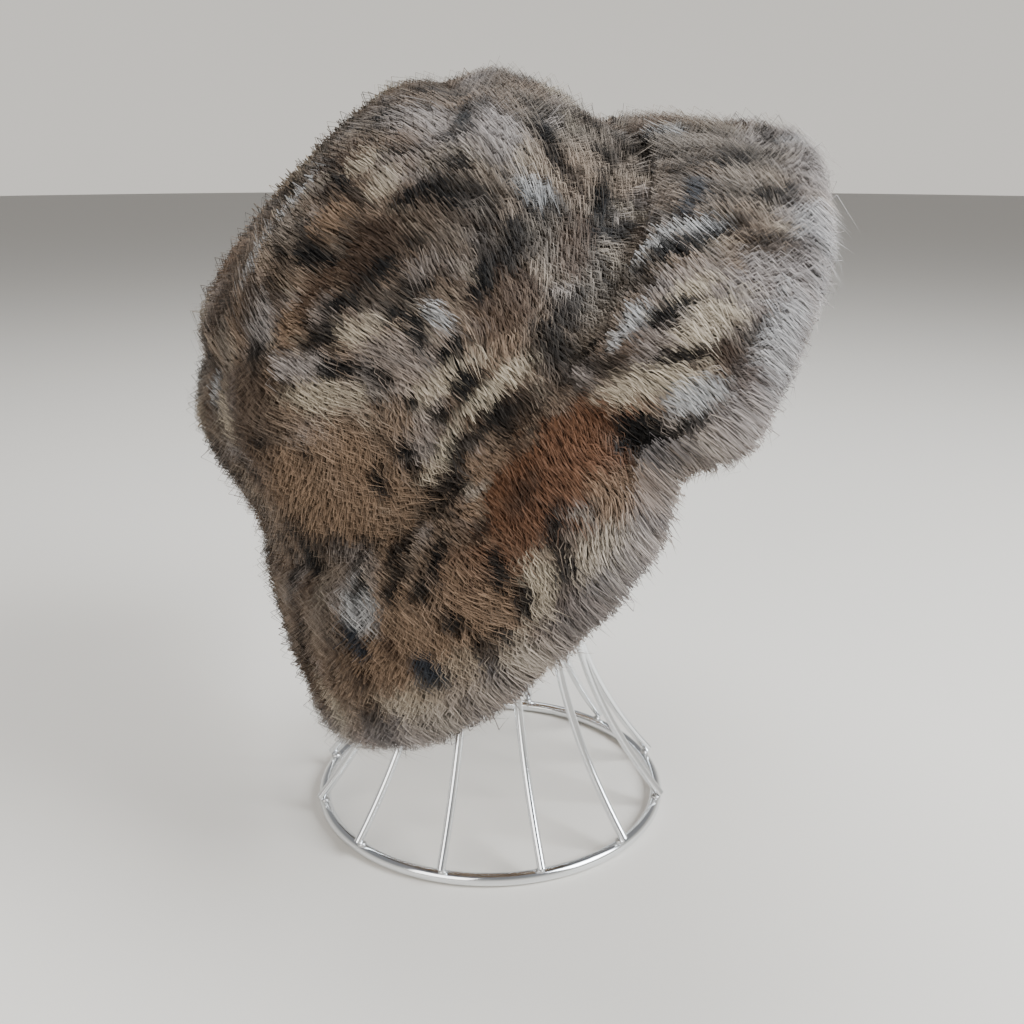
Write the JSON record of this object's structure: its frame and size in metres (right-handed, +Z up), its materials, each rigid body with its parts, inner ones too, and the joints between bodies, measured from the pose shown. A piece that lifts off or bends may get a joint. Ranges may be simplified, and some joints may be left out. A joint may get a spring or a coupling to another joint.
{
  "type": "fur bucket hat on a wire hat stand",
  "caption": "Deep-pile fur bucket hat with a round tip, a side band and a flared, drooping brim, tipped back on a plain stand of bent bright wires on a round base ring.",
  "frame": {"origin": "on the surface that the base ring stands on, below the middle of the whole object's box", "axes": "+X towards the hat's raised front, +Y towards the wearer's left, +Z up along the stand's axis"},
  "size_m": [0.2532, 0.3002, 0.3201],
  "materials": {
    "fur": "deep soft fur, spotted grey, brown and black with pale tips",
    "pelt_leather": "matt suede side of the pelt",
    "bright_wire": "bright plated steel wire"
  },
  "bodies": {
    "root": {"crown_tip_hide": "pelt_leather", "crown_side_hide": "pelt_leather", "brim_hide": "pelt_leather", "crown_tip_fur": "fur", "crown_side_fur": "fur", "brim_fur": "fur", "stand_base_ring": "bright_wire", "stand_rib_01": "bright_wire", "stand_rib_02": "bright_wire", "stand_rib_03": "bright_wire", "stand_rib_04": "bright_wire", "stand_rib_05": "bright_wire", "stand_rib_06": "bright_wire", "stand_rib_07": "bright_wire", "stand_rib_08": "bright_wire", "stand_rib_09": "bright_wire", "stand_rib_10": "bright_wire", "stand_rib_11": "bright_wire", "stand_rib_12": "bright_wire", "stand_top_button": "bright_wire"}
  },
  "joints": []
}
